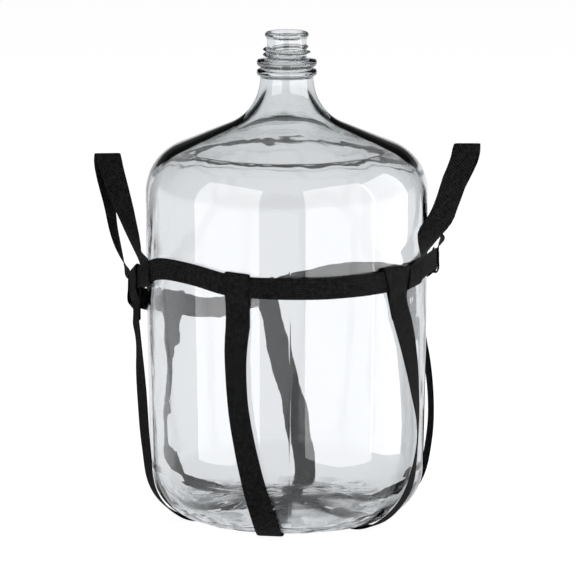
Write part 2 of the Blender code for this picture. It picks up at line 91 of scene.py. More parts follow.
HEEL_INSIDE_RADIUS = HEEL_RADIUS - HEEL_WALL + 0.002
HEEL_THINNING = 0.0006  # the wall is this much thicker where the heel starts
PUSH_UP = 0.0095
FLOOR_THICKNESS = 0.0075
FLOOR_LOW = FLOOR_THICKNESS - 0.001  # the inside's lowest height, round the edge of its floor
# The underside from its bearing ring inwards: radius and height.
PUSH_UP_OUTLINE = ((0.0805, 0.0004), (0.0725, 0.0028), (0.052, 0.00741), (0.028, 0.00912))
# The floor's inside from its middle outwards: radius and how far below its middle.
FLOOR_OUTLINE = ((0.028, 0.0004), (0.052, 0.0025))
FLOOR_EDGE = (0.006, 0.0095)  # how far in from the heel's arc, and how far below its middle

WEB_WIDTH = 0.0245
WEB_THICKNESS = 0.0013
BELT_WIDTH = 0.0210
LAYER = WEB_THICKNESS + GAP
STAND = LAYER  # the bottle stands this high, on the lowest layer of webbing
SEW_LENGTH = 0.022
SEW_DROP = 0.008
STITCH_SIDE = 0.016
TAB_STITCH = 0.014
CROSS_STITCH = 0.020
CROSS_HALF = 0.026
CROSS_RAMP = 0.030
UNDER_RADIUS = 0.066
EDGE_MARGIN = 0.001  # room beside and above a strap that crosses the belt
BEND_RISE = 0.0072  # a handle bends this far above the belt's edge
BEND_OUT = 0.0038
BEND_LEAD = 0.0005  # how far above the belt's edge the sewn end comes flat against it
BELT_STEP = 0.0070  # spacing of a strap's sections
RISER_STEP = 0.0110
HANDLE_STEP = 0.0085
CROSSING_SPAN = 4.0  # degrees each side that give the belt's direction at a crossing
CROSSING_WINDOW = 12.0  # degrees each side that are searched for the belt's bulge

# The belt: azimuth, height of its centre line and distance from the glass, in mm.
BELT_ROUTE = (
    (-165, 192.5, 3.2), (-150, 187.0, 3.2), (-135, 192.0, 3.3), (-123, 198.5, 5.6),
    (-112, 206.0, 12.0), (-101, 218.0, 18.0), (-88, 237.0, 11.5), (-76, 248.8, 5.0),
    (-69, 254.8, 3.6), (-61, 260.0, 3.2), (-47, 262.4, 3.2), (-36, 260.5, 3.2),
    (-24, 255.5, 3.2), (-8, 253.8, 3.2), (12, 253.0, 3.2), (35, 253.4, 3.2), (50, 254.4, 3.4),
    (64, 257.0, 4.3), (78, 260.2, 5.6), (92, 257.0, 9.4), (105, 245.0, 8.0), (118, 231.0, 4.6),
    (131, 226.0, 3.3), (145, 223.5, 3.2), (160, 218.0, 3.2), (172, 210.5, 3.2),
    (183, 202.0, 3.2),
)
LAP_AZIMUTH = 150.0
LAP_DEGREES = 11.0
LAP_RAMP = (-10.0, -2.0)  # where the outer end lifts off, in degrees from the lap's start
# Each riser from the bearing ring up: height, azimuth, distance from the glass and twist, in
# mm and degrees. Then the azimuth where it crosses the belt and how far it leans there.
RISERS = {
    "front": ((
        (0, -9.5, 0.95, 0), (1.0, -9.4, 2.05, 0), (8, -9.2, 2.1, 0), (22, -9.7, 2.3, 0),
        (44, -11.8, 2.2, -6), (73, -14.9, 2.6, -10), (103, -17.4, 3.4, -13),
        (132, -19.2, 4.2, -15), (162, -20.1, 4.4, -15), (190, -20.3, 3.6, -8),
    ), -19.6, 0.0),
    "back": ((
        (0, 170.5, 0.95, 0), (1.0, 170.4, 2.05, 0), (12, 170.2, 2.2, 0),
        (32, 172.0, 2.6, 0), (49, 174.2, 2.8, 0), (71, 175.9, 2.8, 0), (101, 178.5, 2.8, 0),
        (128, 182.0, 2.6, 0),
    ), 188.5, -14.0),
    "right_front": ((
        (0, 51.0, 0.95, 0), (1.0, 51.5, 2.05, 0), (8, 53.0, 2.5, 2), (22, 56.0, 2.6, 8),
        (39, 59.5, 3.2, 10), (57, 62.6, 4.0, 14), (91, 65.0, 5.2, 22), (111, 64.6, 5.2, 18),
        (130, 63.0, 4.6, 11), (149, 61.2, 4.0, 5), (169, 59.0, 3.4, 0),
        (188, 56.6, 2.8, -4),
    ), 47.5, 16.0),
    "left_rear": ((
        (0, -129.0, 0.95, 0), (1.0, -127.6, 2.05, 0), (10, -124.0, 2.4, 2),
        (28, -119.5, 2.6, 6), (47, -116.5, 3.0, 10), (66, -115.2, 3.6, 13),
        (85, -116.3, 3.8, 14), (115, -117.8, 3.6, 12), (140, -119.6, 3.2, 6),
    ), -122.5, 4.0),
    "left": ((
        (0, -76.0, 0.95, 0), (1.0, -76.1, 2.05, 0), (8, -76.4, 2.3, 2), (24, -77.5, 2.8, 5),
        (42, -79.0, 3.2, 8), (61, -80.2, 4.2, 12), (80, -81.5, 5.4, 15),
        (117, -83.2, 6.8, 18), (150, -84.6, 8.0, 16), (172, -85.8, 8.6, 11),
    ), -88.5, 2.0),
    "right_rear": ((
        (0, 104.0, 0.95, 0), (1.0, 103.9, 2.05, 0), (8, 103.5, 2.2, 0), (24, 102.5, 3.2, 0),
        (42, 101.7, 5.0, 0), (61, 101.3, 8.0, 0), (80, 101.3, 10.0, 0),
        (103, 101.8, 10.5, 0), (132, 103.5, 9.0, 0), (155, 106.5, 6.8, 0),
        (174, 110.5, 5.2, 0),
    ), 118.0, -12.0),
}
# Each base strap: its two risers and how many layers it passes over under the base.
BASE_STRAPS = {
    "base_strap_left_right": ("left", "right_rear", 0),
    "base_strap_diagonal": ("right_front", "left_rear", 1),
    "base_strap_front_back": ("front", "back", 2),
}
# Each handle: the azimuths of its two sewn ends with their lean, and the free loop's route
# from its front end to its rear end: x, y, z in mm and the angle from +X that its width
# points to, in degrees.
HANDLES = {
    "handle_left": (
        ((-74.0, 12.0), (-101.0, 8.0)),
        (
            (-154.5, -25.5, 296.0, -54), (-159.7, -21.0, 311.0, -43),
            (-166.0, -15.5, 329.0, -31), (-171.3, -10.5, 346.0, -20),
            (-175.2, -5.5, 359.5, -10), (-177.2, 0.5, 364.8, 4), (-178.9, 6.5, 359.0, 20),
            (-179.4, 12.0, 342.0, 44), (-177.6, 17.5, 322.0, 62), (-175.3, 22.0, 305.0, 69),
            (-172.8, 27.0, 286.0, 74), (-168.6, 30.5, 268.0, 80),
        ),
    ),
    "handle_right": (
        ((61.5, -22.0), (93.0, -6.0)),
        (
            (141.0, -53.0, 293.0, 40), (151.5, -35.0, 308.0, 30), (159.5, -25.0, 325.0, 20),
            (166.5, -16.0, 343.0, 12), (173.4, -8.0, 360.0, 5), (178.2, -1.0, 374.6, 0),
            (179.0, 6.5, 367.0, -8), (174.0, 10.5, 350.0, -20), (166.6, 12.5, 332.0, -34),
            (158.2, 13.5, 313.0, -48), (152.0, 13.0, 295.0, -62),
        ),
    ),
}


# ---------------------------------------------------------------- sizes of the looks
# The bottle: steps along its outline and round its axis.
ROUND = 216
LIP_STEPS = 14
RING_STEPS = 13
THREAD_STEPS = 14  # in each turn of the thread
ARC_STEPS = 34
WALL_STEPS = 73
HEEL_STEPS = 30
FLOOR_STEPS = 25
SHOULDER_STEPS = 11
# The inside of the heel, the corner and the shoulder has more, because it is seen through glass.
INNER_ARC_STEPS = 64
INNER_SHOULDER_STEPS = 47
# How far from the axis, the bearing ring and the heel's arc the outlines of the base stop.
AXIS_MARGIN = 0.003
BEARING_MARGIN = 0.003
HEEL_MARGIN = 0.002
# The lip's inner edge: out from the bore and down from the top.
LIP_EDGE = ((0.0004, 0.0007), (0.0009, 0.0002))
LIP_EASE = 0.0006  # how far inside the CAD's edge the flat top ends
LIP_SWEEP = math.radians(80)  # of the bead round the lip, above and below its middle
LIP_FOOT = (0.0002, 0.0003)  # out from the finish and down from the lip
FINISH_TOP = 0.0009  # how far below the lip the plain finish starts
RING_ROUNDING = 0.7  # exponents that fill out the rings and the thread
THREAD_ROUNDING = 0.8
# Extra thickness of the rear shoulder's inside, where the hot glass settled and folded, by the
# distance up from the corner's end towards the neck, in mm.
FOLD = ((-34, 0.0), (-30, 0.7), (-24, 0.1), (-12, 2.6), (10, 1.8), (40, 2.9), (80, 0.0))
FOLD_SOFTNESS = 0.0008
FOLD_REAR = (1.6, 0.5)  # slope and middle of its fade from the rear to the front
FOLD_WAVES = (2.3, 0, 8.0, 0.6)  # as below, but on a circle of radius 1 and as a share
# Waves in the glass: scale across and up, where up starts, and their height.
INNER_WAVES = (34, 13, 0, 0.00042)
INNER_GRAIN = (75, 75, 0, 0.00008)
OUTER_WAVES = (16, 7, 3, 0.00022)
FLOOR_WAVES = (62, 0, 5.0, 0.0011)
FLOOR_RIPPLES = (150, 0, 9.0, 0.0005)
UNDERSIDE_RIPPLES = (90, 0, 1.0, 0.0005)
# Ripples on those waves: how much finer, and their height.
INNER_RIPPLES = (2.7, 0.00012)
OUTER_RIPPLES = (3.1, 0.00004)
FLOOR_LIMITS = (0.118, 0.030)  # radius and height within which the inside is floor, not wall
UNDERSIDE_TOP = 0.012
NECK_FADE = (0.43, 0.04)  # the waves end at this height, and fade over this much below it
AXIS_FADE = 0.03
# A low rim that the mould's base plate leaves round the floor.
FLOOR_RIM_RADIUS = 0.1075
FLOOR_RIM_HEIGHT = 0.0006
FLOOR_RIM_WIDTH = 0.0012
SEAM_AZIMUTHS = (1.2, 181.2)
SEAM_POINTS = (-0.75, -0.45, -0.28, -0.14, 0, 0.14, 0.28, 0.45, 0.75)  # degrees from a seam
SEAM_TOP = 0.40
SEAM_HEIGHT = 0.00005
SEAM_HALF = 0.00055
CHILL_TOP = 0.0135  # the cold base plate leaves the underside dull in patches up to this height
CHILL_FADE = 0.003

# The webbing.
RIB_PITCH = 0.0028
RIB_STEPS = 4  # sections in each rib
RIB_HEIGHT = 0.00013
RIB_SINK = 0.6  # of its height, how much a rib is set into the face
RIB_SCALE = (60, 3)  # of a rib's straying, along the strap and across it
RIB_SEED = 3.1
RIB_STRAY = 0.44  # radians
YARN_PITCH = 0.0017
YARN_SHIFT = 0.5  # of a rib, from each yarn to the next
YARN_FLATNESS = 0.5  # exponent: the lower, the flatter a yarn's back
RIB_DIP = 0.7  # share of its height that a yarn loses where it goes under
NAP = 0.35  # height of the nap against that of a yarn
PAINTED_YARN_HIGHLIGHT = 0.42  # how much a yarn's height lightens it: a painted highlight on the raised yarns and painted shade where they dip
# How much a mottle lightens the yarns: partly dust and wear, partly a painted sheen
WEAR_AND_SHEEN_TONE = 0.62
ACROSS = 15  # points across a strap's face
CROWDING = 0.985  # how far they crowd towards the selvedges
CROWDED = 0.35  # share of that crowding; the rest is even
EDGE_POWER = 14  # the higher, the narrower the rounded selvedge
EDGE_FLOOR = 0.05  # a point whose edge factor is lower than this lies on the selvedge's turn
EDGE_OUT = 1.004
EDGE_THICKNESS = (0.30, 0.70)  # shares of the thickness at the selvedge, and what the face adds
EDGE_WAVE = 0.00012
WIDTH_SCALE = 45  # of the width's straying along the strap
WIDTH_SEED = 7.3
WIDTH_STRAY = 0.00022
SHARP_ANGLE = math.radians(60)

# The sewing thread.
SEWING_RADIUS = 0.00028
SEWING_PITCH = 0.0027
SEWING_SPAN = (0.10, 0.90)  # the stretch of each pitch that its stitch fills
SEWING_SIDES = 6
SEWING_STEPS = 6
SEWING_BOW = (0.00030, 0.6)  # how high a stitch rises and the exponent of its bow
SEWING_SUNK = 0.00022
SEWING_TAPER = (0.55, 0.45, 0.5)  # radius at the ends, what the middle adds, and the exponent
SEWING_PROUD = 0.00005

# The studio.
FRAME_WIDTH = 36
FOCAL_LENGTH = 288.15
CAMERA_SHIFT = 0.0021
CAMERA_PLACE = (0, -4.5, 1.0636)
CAMERA_DIP = math.radians(10.497)
FLOOR_HALF = 30.0
WHITE = (1, 1, 1, 1)
HORIZON = (0.80, 0.81, 0.83, 1)
CEILING = (0.02, 0.02, 0.02, 1)
SURROUND_STEPS = ((0.05, 0.80), (0.10, 0.12), (0.25, 0.02))  # sine of the height, and grey
SURROUND_TINT = (1, 1.01, 1.03)
PAPER_GREY = (0.40, 0.40, 0.40, 1)
PAPER_GLOW = 0.96  # as the camera sees it
PAPER_BOUNCE = (0.93, 0.935, 0.96, 1)  # as the glass sees it
LAMPS = (
    # name, place, aim, width, height, power, True for one that shows only as a reflection
    ("top", (0.3, -0.6, 2.4), (0, 0, 0.1), 2.2, 2.2, 34, False),
    ("left_box", (-0.192, -0.240, 0.285), (0.585, 0.389, 0.285), 0.258, 0.51, 1.74, True),
    ("right_front_box", (0.172, -0.252, 0.285), (-0.535, 0.455, 0.285), 0.274, 0.51, 1.90, True),
    ("right_box", (0.300, -0.079, 0.285), (-0.700, -0.079, 0.285), 0.188, 0.51, 1.33, True),
)


# ---------------------------------------------------------------- nodes
def new_material(name):
    """A material with nodes, its node tree and its shader."""
    made = bpy.data.materials.new(name)
    made.use_nodes = True
    tree = made.node_tree
    return made, tree, tree.nodes["Principled BSDF"]


def node(tree, kind, **settings):
    """A new node, its own settings given by name."""
    made = tree.nodes.new(kind)
    for key, value in settings.items():
        setattr(made, key, value)
    return made


def fill(made, values):
    """Gives values to a node's inputs by name, and returns the node."""
    for key, value in values.items():
        made.inputs[key].default_value = value
    return made


def maths(tree, operation, first, second=0.0):
    """The outcome of a sum on two values, each a number or another node's output."""
    made = node(tree, "ShaderNodeMath", operation=operation)
    for socket, value in zip(made.inputs, (first, second)):
        if hasattr(value, "links"):
            tree.links.new(value, socket)
        else:
            socket.default_value = value
    return made.outputs[0]


def mapped(tree, value, old, new):
    """A value carried from its old range to a new one."""
    made = fill(node(tree, "ShaderNodeMapRange"),
                {"From Min": old[0], "From Max": old[1], "To Min": new[0], "To Max": new[1]})
    tree.links.new(value, made.inputs["Value"])
    return made.outputs["Result"]


def speckle(tree, scale, detail):
    """Noise fixed to the piece."""
    made = fill(node(tree, "ShaderNodeTexNoise"), {"Scale": scale, "Detail": detail})
    tree.links.new(node(tree, "ShaderNodeTexCoord").outputs["Object"], made.inputs["Vector"])
    return made.outputs["Fac"]


def coordinates(tree, source):
    """The three parts of a vector."""
    made = node(tree, "ShaderNodeSeparateXYZ")
    tree.links.new(source, made.inputs[0])
    return made.outputs


def emboss(tree, shader, height, strength, distance):
    """Gives a shader a relief of this height."""
    made = fill(node(tree, "ShaderNodeBump"), {"Strength": strength, "Distance": distance})
    tree.links.new(height, made.inputs["Height"])
    tree.links.new(made.outputs[0], shader.inputs["Normal"])


def shade(tree, shader, factor, *tones):
    """Gives a shader a colour between two tones, each a place on the factor and a colour."""
    ramp = node(tree, "ShaderNodeValToRGB")
    for step, (position, colour) in zip(ramp.color_ramp.elements, tones):
        step.position, step.color = position, (*colour, 1)
    tree.links.new(factor, ramp.inputs["Fac"])
    tree.links.new(ramp.outputs["Color"], shader.inputs["Base Color"])


def for_camera(tree, seen, otherwise, surface):
    """Joins a surface to one shader for the camera's own rays and to another for all others."""
    pick = node(tree, "ShaderNodeMixShader")
    rays = node(tree, "ShaderNodeLightPath")
    tree.links.new(rays.outputs["Is Camera Ray"], pick.inputs["Fac"])
    tree.links.new(otherwise.outputs[0], pick.inputs[1])
    tree.links.new(seen.outputs[0], pick.inputs[2])
    tree.links.new(pick.outputs[0], surface)


def material_output(tree):
    """The output node that every new material has."""
    return next(n for n in tree.nodes if n.type == "OUTPUT_MATERIAL")


# ---------------------------------------------------------------- camera and studio
def camera_view(scene):
    """The photograph's view."""
    lens = bpy.data.cameras.new("camera")
    lens.sensor_width = FRAME_WIDTH
    lens.lens = FOCAL_LENGTH
    lens.shift_x = CAMERA_SHIFT
    camera = bpy.data.objects.new("camera", lens)
    camera.location = CAMERA_PLACE
    camera.rotation_euler = (math.pi / 2 - CAMERA_DIP, 0, 0)
    scene.collection.objects.link(camera)
    scene.camera = camera


def surround(scene):
    """White behind the bottle for the camera; for the glass, bright walls under a dark ceiling."""
    world = bpy.data.worlds.new("studio")
    world.use_nodes = True
    scene.world = world
    tree = world.node_tree
    tree.nodes.clear()
    out = node(tree, "ShaderNodeOutputWorld")
    seen = fill(node(tree, "ShaderNodeBackground"), {"Color": WHITE})
    around_it = node(tree, "ShaderNodeBackground")
    ramp = node(tree, "ShaderNodeValToRGB")
    place = node(tree, "ShaderNodeTexCoord")
    tree.links.new(coordinates(tree, place.outputs["Generated"])["Z"], ramp.inputs["Fac"])
    tree.links.new(ramp.outputs["Color"], around_it.inputs["Color"])
    for_camera(tree, seen, around_it, out.inputs["Surface"])
    steps = ramp.color_ramp.elements
    steps[0].position, steps[0].color = 0.0, HORIZON
    steps[1].position, steps[1].color = 1.0, CEILING
    for height, grey in SURROUND_STEPS:
        steps.new(height).color = (*(grey * tint for tint in SURROUND_TINT), 1)


def paper_floor(scene):
    """A pale floor that the camera sees as white paper."""
    mesh = bpy.data.meshes.new("floor")
    half = FLOOR_HALF
    mesh.from_pydata([(-half, -half, 0), (half, -half, 0), (half, half, 0), (-half, half, 0)],
                     [], [(0, 1, 2, 3)])
    floor = bpy.data.objects.new("floor", mesh)
    scene.collection.objects.link(floor)
    paper, tree, shader = new_material("white_paper")
    fill(shader, {"Base Color": PAPER_GREY, "Roughness": 0.9, "Specular IOR Level": 0.1,
                  "Emission Color": WHITE, "Emission Strength": PAPER_GLOW})
    bounced = fill(node(tree, "ShaderNodeEmission"), {"Color": PAPER_BOUNCE})
    for_camera(tree, shader, bounced, material_output(tree).inputs["Surface"])
    mesh.materials.append(paper)


def lamps(scene):
    """One lamp above, and softboxes that only show in the glass."""
    for name, at, aim, width, height, power, gloss in LAMPS:
        light = bpy.data.lights.new(name, "AREA")
        light.shape = "RECTANGLE"
        light.size, light.size_y = width, height
        light.energy = power
        lamp = bpy.data.objects.new(name, light)
        lamp.location = at
        turn = (Vector(aim) - Vector(at)).to_track_quat("-Z", "Y")
        lamp.rotation_euler = turn.to_euler()
        lamp.visible_camera = False
        lamp.visible_transmission = False
        lamp.visible_glossy = gloss
        lamp.visible_diffuse = not gloss
        scene.collection.objects.link(lamp)


# ---------------------------------------------------------------- shapes, as in the CAD
def arc(centre, radius, start, end, steps):
    """Points on an arc, its angles in radians from +X."""
    angles = np.linspace(start, end, steps + 1)
    return [(centre[0] + radius * math.cos(a), centre[1] + radius * math.sin(a)) for a in angles]


def between(start, end, steps):
    """Points on the straight line from one to another, without those two."""
    return [(start[0] + (end[0] - start[0]) * t, start[1] + (end[1] - start[1]) * t)
            for t in np.linspace(0, 1, steps + 1)[1:-1]]


def shoulder_height(radius):
    """Height of the straight part of the shoulder's outside at this radius."""
    return SHOULDER_TOP[1] - math.tan(SHOULDER_SLOPE) * (radius - SHOULDER_TOP[0])


def shoulder_centre(corner_radius, at_wall, drop):
    """Centre of an arc that joins the wall to the shoulder lowered by drop, square to it."""
    r = at_wall - corner_radius
    touch = r + corner_radius * math.sin(SHOULDER_SLOPE)
    z = shoulder_height(touch) - drop / math.cos(SHOULDER_SLOPE)
    return r, z - corner_radius * math.cos(SHOULDER_SLOPE)


def shoulder_end(corner_radius, at_wall, drop):
    """Where that arc meets the straight part of the shoulder."""
    r, z = shoulder_centre(corner_radius, at_wall, drop)
    return (r + corner_radius * math.sin(SHOULDER_SLOPE),
            z + corner_radius * math.cos(SHOULDER_SLOPE))


def fillet_centre(fillet, neck_radius, drop):
    """Centre of the arc that joins the neck to the shoulder lowered by drop."""
    r = neck_radius + fillet
    touch = r - fillet * math.sin(SHOULDER_SLOPE)
    z = shoulder_height(touch) - drop / math.cos(SHOULDER_SLOPE)
    return r, z + fillet * math.cos(SHOULDER_SLOPE)


def wall_radius(height):
    """Outer radius of the bottle at a height between its bearing ring and its shoulder."""
    if height < HEEL_RADIUS:
        return BEARING_RADIUS + math.sqrt(HEEL_RADIUS**2 - (HEEL_RADIUS - max(height, 0)) ** 2)
    top = shoulder_centre(SHOULDER_RADIUS, BODY_RADIUS, 0)[1]
    return min(BODY_RADIUS - BARREL * max(top - height, 0) ** 2, BODY_RADIUS)


def unit(vector):
    """A vector with its length brought to one."""
    return np.asarray(vector, float) / np.linalg.norm(vector)


def around(azimuth, radius, height):
    """A point from its azimuth in degrees, radius and height above the bottle's stand."""
    a = math.radians(azimuth)
    return np.array([radius * math.sin(a), -radius * math.cos(a), height + STAND])


def smooth(rows, step):
    """Rows about step apart on the natural cubic curve through the given rows (x, y, z first)."""
    rows = np.asarray(rows, float)
    knots = np.concatenate([[0], np.cumsum(np.linalg.norm(np.diff(rows[:, :3], axis=0), axis=1))])
    gaps = np.diff(knots)
    count = len(rows)
    system, right = np.eye(count), np.zeros_like(rows)
    for i in range(1, count - 1):
        system[i, i - 1 : i + 2] = gaps[i - 1], 2 * (gaps[i - 1] + gaps[i]), gaps[i]
        rise = (rows[i + 1] - rows[i]) / gaps[i] - (rows[i] - rows[i - 1]) / gaps[i - 1]
        right[i] = 6 * rise
    bends = np.linalg.solve(system, right)
    out = []
    for i, gap in enumerate(gaps):
        parts = max(1, round(gap / step))
        for t in np.arange(parts) / parts * gap:
            a, b = gap - t, t
            out.append((bends[i] * a**3 + bends[i + 1] * b**3) / (6 * gap)
                       + (rows[i] / gap - bends[i] * gap / 6) * a
                       + (rows[i + 1] / gap - bends[i + 1] * gap / 6) * b)
    return np.array(out + [rows[-1]])


def belt_curve():
    """Azimuths, and centres of the belt, all the way round with some to spare at both ends."""
    table = np.array(BELT_ROUTE, float)
    turn = np.array([360.0, 0, 0])
    table = np.concatenate([table - turn, table, table + turn])
    rows = [np.append(around(a, wall_radius(z / 1000) + out / 1000, z / 1000), a)
            for a, z, out in table]
    rows = smooth(rows, BELT_STEP)
    return rows[:, 3], rows[:, :3]


BELT_AZIMUTHS, BELT_CENTRES = belt_curve()


def belt_at(azimuth):
    """The belt's centre at an azimuth, or a row of centres for a row of azimuths."""
    return np.transpose([np.interp(azimuth, BELT_AZIMUTHS, c) for c in BELT_CENTRES.T])


class BeltPlace:
    """Where a strap crosses the belt: the belt's centre there and the strap's own directions."""

    def __init__(self, azimuth, lean):
        self.centre = belt_at(azimuth)
        self.across = unit(belt_at(azimuth + CROSSING_SPAN) - belt_at(azimuth - CROSSING_SPAN))
        rise = unit(np.array([0, 0, 1.0]) - self.across * self.across[2])
        self.out = unit(np.cross(self.across, rise))
        upright = unit(np.array([0, 0, 1.0]) - self.out * self.out[2])
        level = unit(np.cross(upright, self.out))
        lean = math.radians(lean)
        self.up = upright * math.cos(lean) - level * math.sin(lean)
        skew = float(np.dot(self.up, self.across))
        self.reach = (BELT_WIDTH / 2 + GAP) / math.sqrt(1 - skew**2)
        half = WEB_WIDTH / 2 / math.sqrt(1 - skew**2) + self.reach * abs(skew) + EDGE_MARGIN
        window = np.linspace(azimuth - CROSSING_WINDOW, azimuth + CROSSING_WINDOW, 97)
        near = belt_at(window) - self.centre
        depth = near[np.abs(near @ self.across) < half] @ self.out
        self.front = depth.max() + LAYER
        self.back = depth.min() - LAYER

    def at(self, up, out):
        """A point this far up the strap and out from the belt's centre."""
        return self.centre + self.up * up + self.out * out

    def fold(self, sign):
        """Centres of the half turn over (sign 1) or under (sign -1) the belt, from its front."""
        middle, radius = (self.front + self.back) / 2, (self.front - self.back) / 2
        angles = np.linspace(0, math.pi, 7)
        return [self.at(sign * (self.reach + radius * math.sin(a)), middle + radius * math.cos(a))
                for a in angles]


def riser(name):
    """Centres and width directions from under the base up, over the belt and down behind it."""
    table, azimuth, lean = RISERS[name]
    place = BeltPlace(azimuth, lean)
    first = math.radians(table[0][1])
    inner = around(table[0][1], UNDER_RADIUS, 0)
    inner[2] = WEB_THICKNESS / 2
    rows = [np.concatenate([inner, [math.cos(first), math.sin(first), 0]])]
    for height, turn, off, twist in table:
        height, off = height / 1000, off / 1000
        low = max(0.0, 1 - height / HEEL_RADIUS)
        radius = wall_radius(height) + off * math.sqrt(1 - low**2)
        width = math.radians(turn + twist)
        rows.append(np.concatenate([around(turn, radius, height - off * low),
                                    [math.cos(width), math.sin(width), 0]]))
    sewn_top = -place.reach - SEW_DROP
    sewn_end = sewn_top - SEW_LENGTH
    front = place.back + LAYER
    rows.append(np.concatenate([place.at(sewn_end, front), place.across]))
    rows = smooth(rows, RISER_STEP)
    rows[:, 2] = np.maximum(rows[:, 2], WEB_THICKNESS / 2)
    over = [place.at(sewn_top, front), place.at(-place.reach - EDGE_MARGIN, place.front)]
    over += [place.at(0, place.front)] + place.fold(1)
    over += [place.at(up, place.back) for up in (0, sewn_top, sewn_end)]
    return list(rows[:, :3]) + over, list(rows[:, 3:]) + [place.across] * len(over), place


def base_strap_rows(name):
    """One strap: down a riser, under the base over the straps below it, and up the other one."""
    first, second, level = BASE_STRAPS[name]
    here, here_widths, _ = riser(first)
    there, there_widths, _ = riser(second)
    ends = np.array([here[0], there[0]])
    under = []
    for t in np.linspace(0, 1, 17)[1:-1]:
        centre = ends[0] + (ends[1] - ends[0]) * t
        ease = (CROSS_HALF + CROSS_RAMP - np.linalg.norm(centre[:2])) / CROSS_RAMP
        centre[2] += level * LAYER * (1 - math.cos(math.pi * min(max(ease, 0), 1))) / 2
        under.append(centre)
    centres = here[::-1] + under + there
    widths = here_widths[::-1] + [here_widths[0]] * len(under) + [-w for w in there_widths]
    return centres, widths


def belt_rows():
    """The belt, its far end lapped outside its near end."""
    start = LAP_AZIMUTH - 360
    inside = (BELT_AZIMUTHS >= start) & (BELT_AZIMUTHS <= LAP_AZIMUTH + LAP_DEGREES)
    azimuths, centres = BELT_AZIMUTHS[inside], BELT_CENTRES[inside].copy()
    ease = np.clip((azimuths - LAP_AZIMUTH - LAP_RAMP[0]) / (LAP_RAMP[1] - LAP_RAMP[0]), 0, 1)
    radial = centres * [1, 1, 0]
    centres += radial / np.linalg.norm(radial, axis=1)[:, None] * (ease * LAYER)[:, None]
    return list(centres), [np.array([0, 0, 1.0])] * len(centres)


def bend_points(ends):
    """The places of a handle's two sewn ends, and the points that it folds about above them."""
    places = [BeltPlace(*end) for end in ends]
    bends = [p.at(p.reach + BEND_RISE, p.front + BEND_OUT) for p in places]
    return places, bends, unit(bends[0] - bends[1])


def end_rows(place):
    """Centres of a handle's sewn end, from just below its bend, down and up behind the belt."""
    centres = [place.at(place.reach + BEND_LEAD, place.front), place.at(0, place.front)]
    return centres + place.fold(-1) + [place.at(0, place.back), place.at(place.reach, place.back)]


def handle_rows(name):
    """A whole handle: its front sewn end, the free loop and its rear sewn end in one run."""
    ends, route = HANDLES[name]
    places, (front, rear), axis = bend_points(ends)
    axis = axis * -np.sign(front[0])
    rows = [np.concatenate([front, axis])]
    for x, y, z, turn in route:
        a = math.radians(turn)
        rows.append(np.array([x / 1000, y / 1000, z / 1000, math.cos(a), math.sin(a), 0]))
    rows.append(np.concatenate([rear, -axis]))
    rows = smooth(rows, HANDLE_STEP)
    low, high = end_rows(places[0])[::-1], end_rows(places[1])
    low_width, high_width = (p.across * np.sign(np.dot(p.across, way))
                             for p, way in zip(places, (axis, -axis)))
    return (low + list(rows[:, :3]) + high,
            [low_width] * len(low) + list(rows[:, 3:]) + [high_width] * len(high))


# ---------------------------------------------------------------- meshes
def finished(name, points, faces, look, flat_angle=0.0):
    """A smooth-shaded piece from world points and faces, its normals facing out."""
    mesh = bpy.data.meshes.new(name)
    mesh.from_pydata([tuple(p) for p in points], [], faces)
    work = bmesh.new()
    work.from_mesh(mesh)
    bmesh.ops.recalc_face_normals(work, faces=work.faces)
    if work.calc_volume(signed=True) < 0:
        bmesh.ops.reverse_faces(work, faces=work.faces)
    work.to_mesh(mesh)
    work.free()
    mesh.shade_smooth()
    if flat_angle:
        mesh.set_sharp_from_angle(angle=flat_angle)
    mesh.materials.append(look)
    piece = bpy.data.objects.new(name, mesh)
    bpy.context.scene.collection.objects.link(piece)
    return piece


def skin(start, rings, count):
    """Faces between rings of count points each, the first point numbered start."""
    faces = []
    for a in range(start, start + (rings - 1) * count, count):
        faces += [(a + j, a + (j + 1) % count, a + count + (j + 1) % count, a + count + j)
                  for j in range(count)]
    return faces


def fine(centres, widths, step):
    """Centres and width directions about step apart on a smooth curve through the given rows."""
    centres, widths = np.asarray(centres, float), np.array([unit(w) for w in widths])
    apart = np.linalg.norm(np.diff(centres, axis=0), axis=1)
    knots = np.concatenate([[0], np.cumsum(apart)])
    slopes = np.gradient(centres, knots, axis=0)
    turns = np.gradient(widths, knots, axis=0)
    count = int(knots[-1] / step)
    at = np.linspace(0, knots[-1], count + 1)
    k = np.clip(np.searchsorted(knots, at, side="right") - 1, 0, len(knots) - 2)
    gap = (knots[k + 1] - knots[k])[:, None]
    t = ((at - knots[k]) / gap[:, 0])[:, None]
    h0, h1 = 2 * t**3 - 3 * t**2 + 1, -2 * t**3 + 3 * t**2
    h2, h3 = t**3 - 2 * t**2 + t, t**3 - t**2
    path = h0 * centres[k] + h2 * gap * slopes[k] + h1 * centres[k + 1] + h3 * gap * slopes[k + 1]
    wide = h0 * widths[k] + h2 * gap * turns[k] + h1 * widths[k + 1] + h3 * gap * turns[k + 1]
    return path, wide


